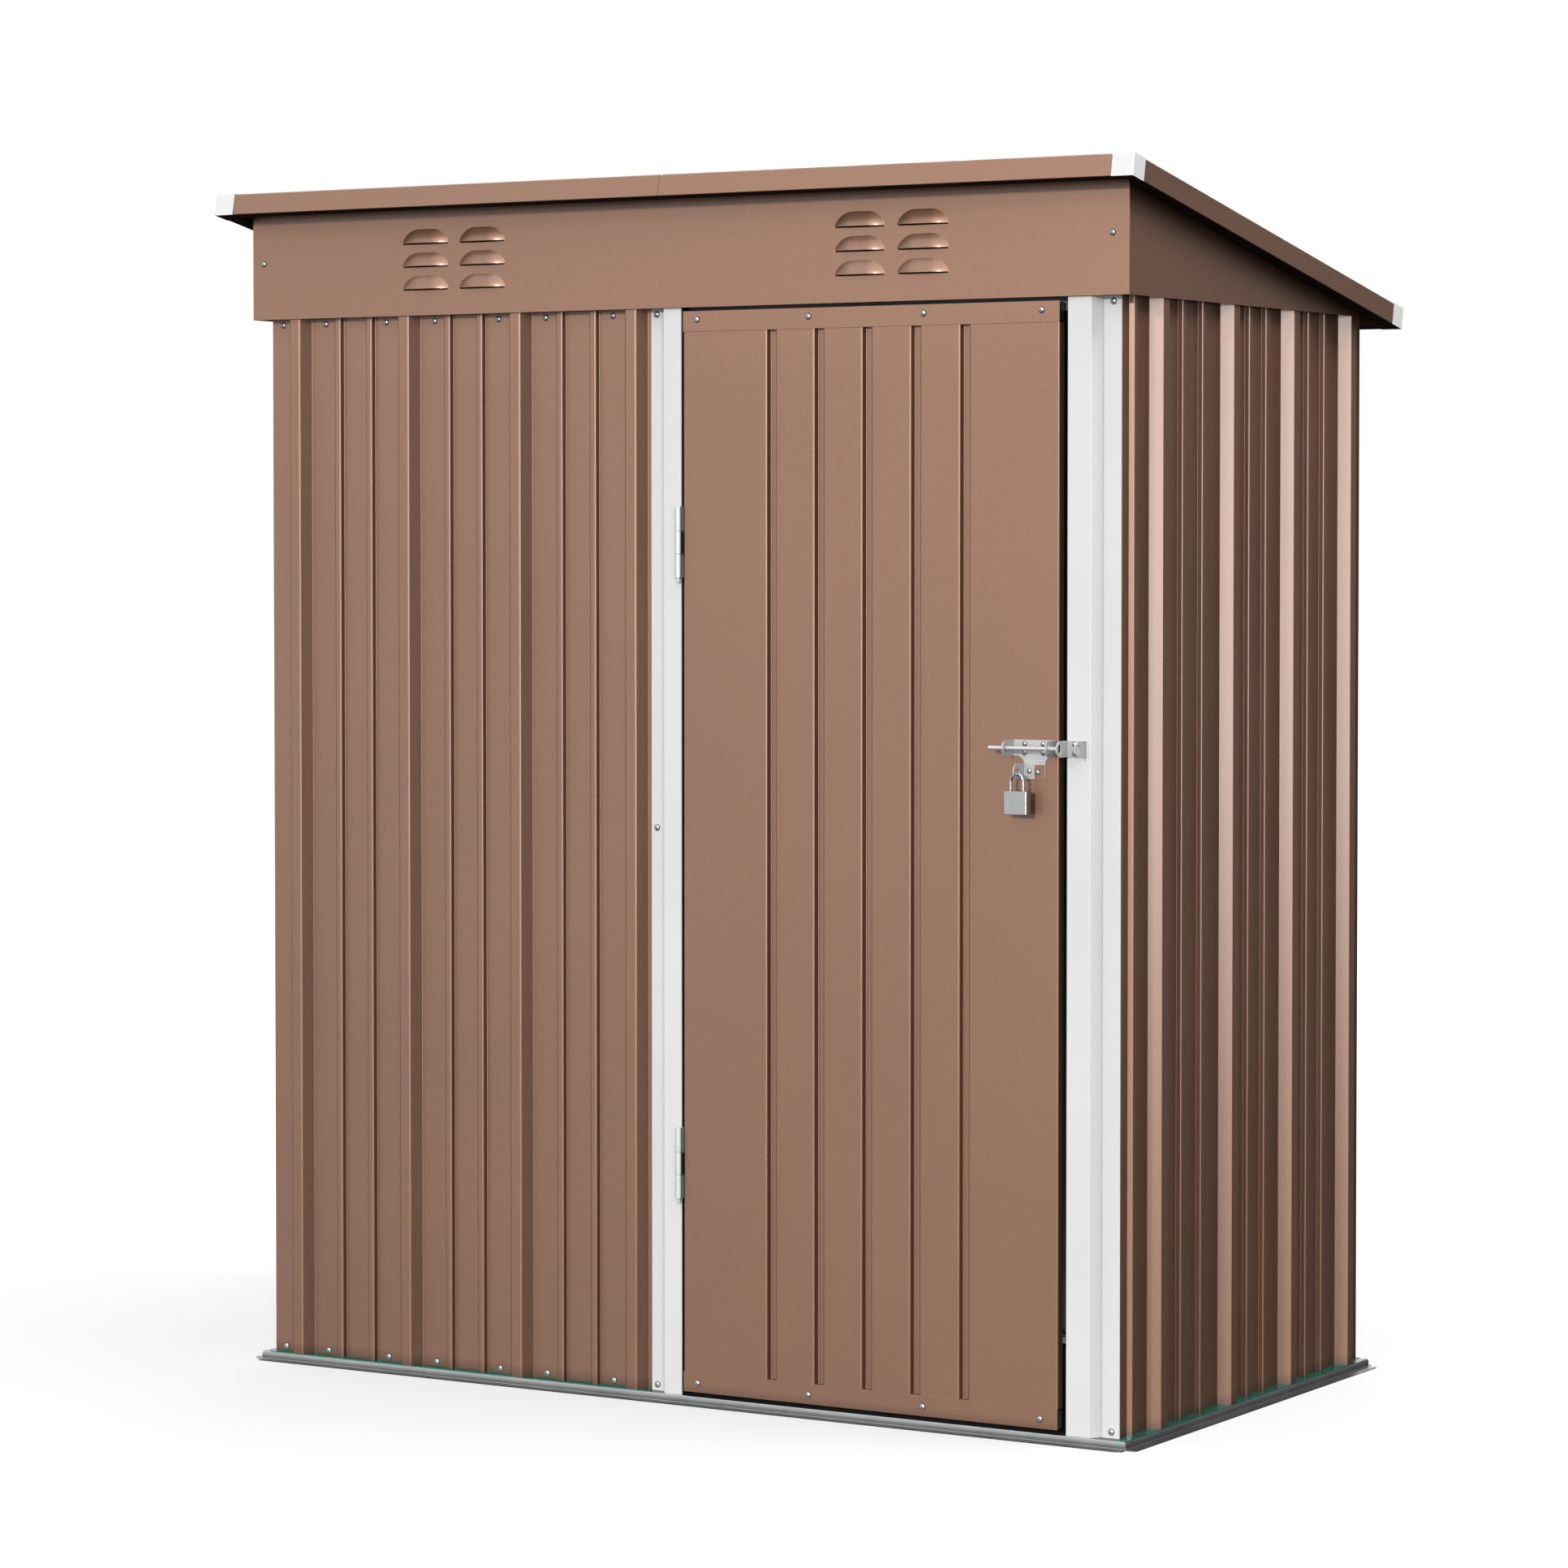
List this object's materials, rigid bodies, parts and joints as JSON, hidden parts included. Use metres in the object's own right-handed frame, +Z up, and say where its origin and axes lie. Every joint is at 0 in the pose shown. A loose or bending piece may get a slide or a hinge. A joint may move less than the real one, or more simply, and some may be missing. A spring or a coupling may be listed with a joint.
{
  "type": "metal storage shed",
  "caption": "Small lean-to storage shed of ribbed sheet steel on a galvanised base frame, with one hinged door, a bolt with padlock, a louvred front fascia and a sloping roof.",
  "frame": {"origin": "bottom centre of the bounding box, at ground level", "axes": "+X to the right seen from the front, +Y towards the back, +Z up; the door faces -Y"},
  "size_m": [1.5844, 0.9146, 1.8089],
  "materials": {
    "brown_paint": "semi-gloss coffee brown paint on sheet steel",
    "white_paint": "semi-gloss white paint on sheet steel",
    "green_strip": "gloss dark green strip",
    "galvanised": "galvanised sheet steel, satin",
    "zinc_hinge": "bright zinc plate",
    "latch_steel": "brushed steel with bright edges",
    "lock_case": "satin nickel",
    "lock_shackle": "polished hardened steel"
  },
  "bodies": {
    "shell": {"base_rail_front": "galvanised", "base_rail_back": "galvanised", "base_rail_left": "galvanised", "base_rail_right": "galvanised", "top_rail_front": "galvanised", "top_rail_back": "galvanised", "top_rail_left": "galvanised", "top_rail_right": "galvanised", "roof_header": "galvanised", "roof_beam": "galvanised", "corner_post_left": "galvanised", "sill_strips": "green_strip", "front_panel": "brown_paint", "right_wall_panel": "brown_paint", "left_wall_panel": "brown_paint", "back_wall_panel_left": "brown_paint", "back_wall_panel_right": "brown_paint", "fascia_front": "brown_paint", "fascia_left": "brown_paint", "fascia_right": "brown_paint", "roof_sheet_left": "brown_paint", "roof_sheet_right": "brown_paint", "roof_trim_front_left": "brown_paint", "roof_trim_front_right": "brown_paint", "roof_trim_back": "brown_paint", "roof_trim_left": "brown_paint", "roof_trim_right": "brown_paint", "door_post_left": "white_paint", "corner_post_right": "white_paint", "roof_cap_front_left": "white_paint", "roof_cap_front_right": "white_paint", "roof_cap_back_left": "white_paint", "roof_cap_back_right": "white_paint", "hinge_leaves_post": "zinc_hinge", "bolt_keeper": "latch_steel"},
    "door": {"door_skin": "brown_paint", "door_strip_top": "brown_paint", "door_strip_bottom": "brown_paint", "door_channel_top": "galvanised", "door_channel_bottom": "galvanised", "hinge_leaves_door": "zinc_hinge", "bolt_plate": "latch_steel"},
    "bolt": {"bolt_rod": "latch_steel"},
    "padlock": {"padlock_case": "lock_case", "padlock_shackle": "lock_shackle"}
  },
  "joints": [
    {"name": "door_swing", "type": "hinge", "parent": "shell", "child": "door", "pos_m": [0.01715, -0.39998, 0.8], "axis": [0, 0, -1], "range_deg": [0, 160]},
    {"name": "bolt_slide", "type": "slide", "parent": "door", "child": "bolt", "axis": [1, 0, 0], "range_m": [0, 0.02]},
    {"name": "padlock_swing", "type": "hinge", "parent": "door", "child": "padlock", "pos_m": [0.5911, -0.41648, 0.9454], "axis": [-1, 0, 0], "range_deg": [-5, 75]}
  ]
}
